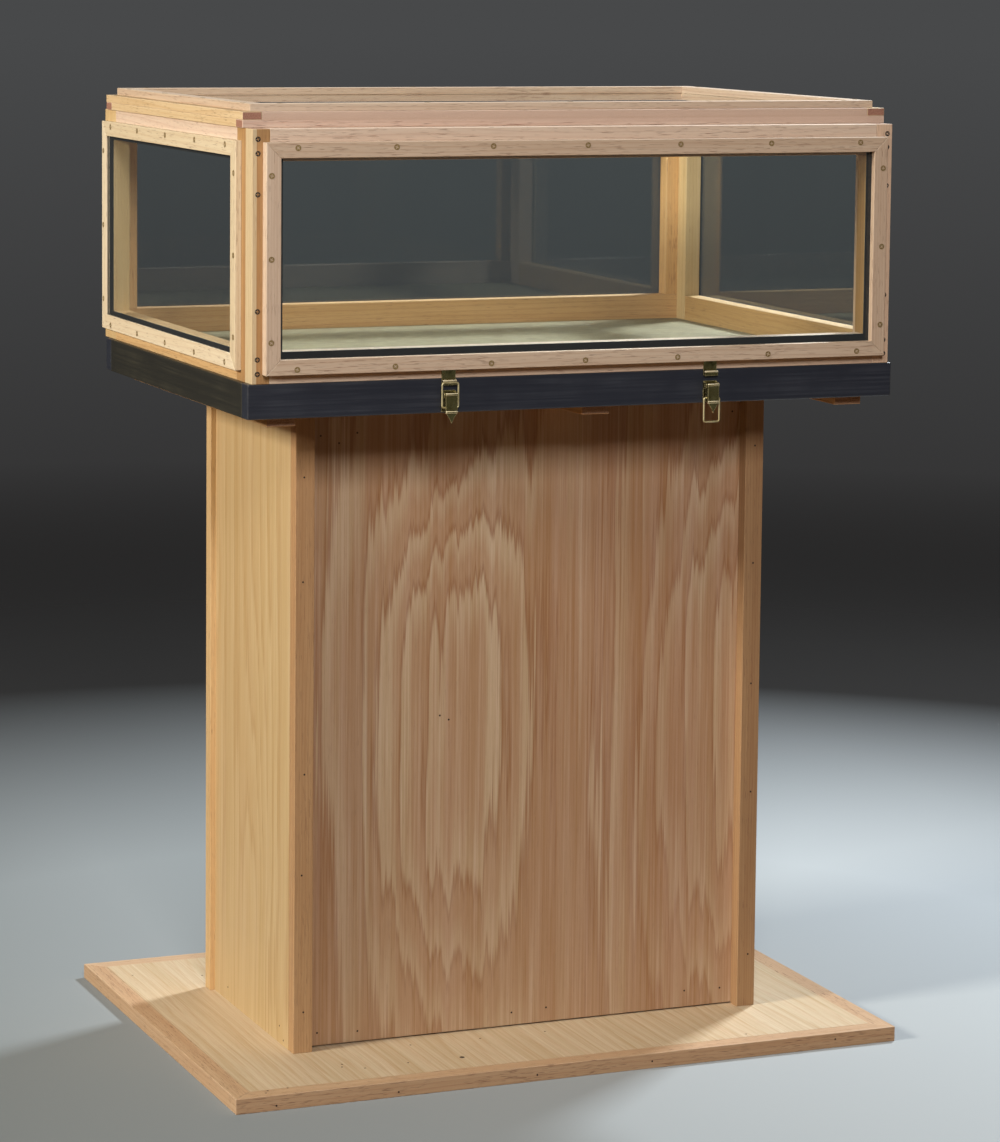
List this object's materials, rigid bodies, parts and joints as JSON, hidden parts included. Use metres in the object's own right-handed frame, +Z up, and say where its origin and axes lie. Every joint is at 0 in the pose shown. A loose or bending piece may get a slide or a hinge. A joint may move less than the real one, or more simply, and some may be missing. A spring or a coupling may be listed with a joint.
{
  "type": "display case on stand",
  "caption": "Glazed oak display case with a hinged hood and brass draw latches on a black tray, carried by a veneered box pedestal with a flat base plate.",
  "frame": {"origin": "centre of the base plate's underside", "axes": "+X to the right seen from the front, the latches face -Y, +Z up"},
  "size_m": [0.89, 0.652, 1.2055],
  "materials": {
    "oak": "planed bare oak",
    "veneer": "oak veneered plywood, thin satin varnish",
    "softwood": "rough sawn softwood",
    "black_paint": "brushed black satin paint on wood",
    "deck_paint": "pale grey green mottled matt paint",
    "pane": "clear float glass",
    "black_strip": "matt black foam strip",
    "brass": "aged polished brass",
    "dark_steel": "blackened steel"
  },
  "bodies": {
    "stand": {"base_edging": "oak", "base_panel": "veneer", "batten_left": "softwood", "batten_middle": "softwood", "batten_right": "softwood", "deck_bearers": "softwood", "display_deck": "deck_paint", "hinge_tray_leaves": "brass", "latch_and_hinge_pins": "brass", "left_latch_plate": "brass", "pedestal_back_panel": "veneer", "pedestal_back_strip_left": "oak", "pedestal_back_strip_right": "oak", "pedestal_cleats": "softwood", "pedestal_front_panel": "veneer", "pedestal_front_strip_left": "oak", "pedestal_front_strip_right": "oak", "pedestal_left_panel": "veneer", "pedestal_right_panel": "veneer", "right_latch_plate": "brass", "tray_back": "black_paint", "tray_bottom": "black_paint", "tray_front": "black_paint", "tray_left": "black_paint", "tray_right": "black_paint"},
    "hood": {"cap_frame": "oak", "cap_ledgers": "oak", "glass_back": "pane", "glass_cap": "pane", "glass_front": "pane", "glass_gaskets": "black_strip", "glass_left": "pane", "glass_right": "pane", "glazing_frame_back": "oak", "glazing_frame_cap": "oak", "glazing_frame_front": "oak", "glazing_frame_left": "oak", "glazing_frame_right": "oak", "glazing_screws": "brass", "hood_bottom_rail_back": "oak", "hood_bottom_rail_front": "oak", "hood_bottom_rail_left": "oak", "hood_bottom_rail_right": "oak", "hood_jambs": "oak", "hood_post_back_left": "oak", "hood_post_back_right": "oak", "hood_post_front_left": "oak", "hood_post_front_right": "oak", "hood_top_rail_back": "oak", "hood_top_rail_front": "oak", "hood_top_rail_left": "oak", "hood_top_rail_right": "oak", "frame_screws": "dark_steel", "hinge_hood_leaves": "brass", "left_latch_strike": "brass", "right_latch_strike": "brass"},
    "left_lever": {"left_latch_lever": "brass"},
    "left_bail": {"left_latch_bail": "brass"},
    "right_lever": {"right_latch_lever": "brass"},
    "right_bail": {"right_latch_bail": "brass"}
  },
  "joints": [
    {"name": "hood_hinge", "type": "hinge", "parent": "stand", "child": "hood", "pos_m": [0, 0.2788, 0.8722], "axis": [-1, 0, 0], "range_deg": [0, 90]},
    {"name": "left_lever_hinge", "type": "hinge", "parent": "stand", "child": "left_lever", "pos_m": [-0.174, -0.3165, 0.856], "axis": [-1, 0, 0], "range_deg": [0, 100]},
    {"name": "left_bail_hinge", "type": "hinge", "parent": "left_lever", "child": "left_bail", "pos_m": [-0.174, -0.3175, 0.841], "axis": [-1, 0, 0], "range_deg": [-100, 0]},
    {"name": "right_lever_hinge", "type": "hinge", "parent": "stand", "child": "right_lever", "pos_m": [0.174, -0.3165, 0.856], "axis": [-1, 0, 0], "range_deg": [0, 100]},
    {"name": "right_bail_hinge", "type": "hinge", "parent": "right_lever", "child": "right_bail", "pos_m": [0.174, -0.3175, 0.841], "axis": [-1, 0, 0], "range_deg": [0, 85]}
  ],
  "couplings": [
    {"joint": "left_bail_hinge", "follows": "left_lever_hinge", "ratio": -1}
  ]
}
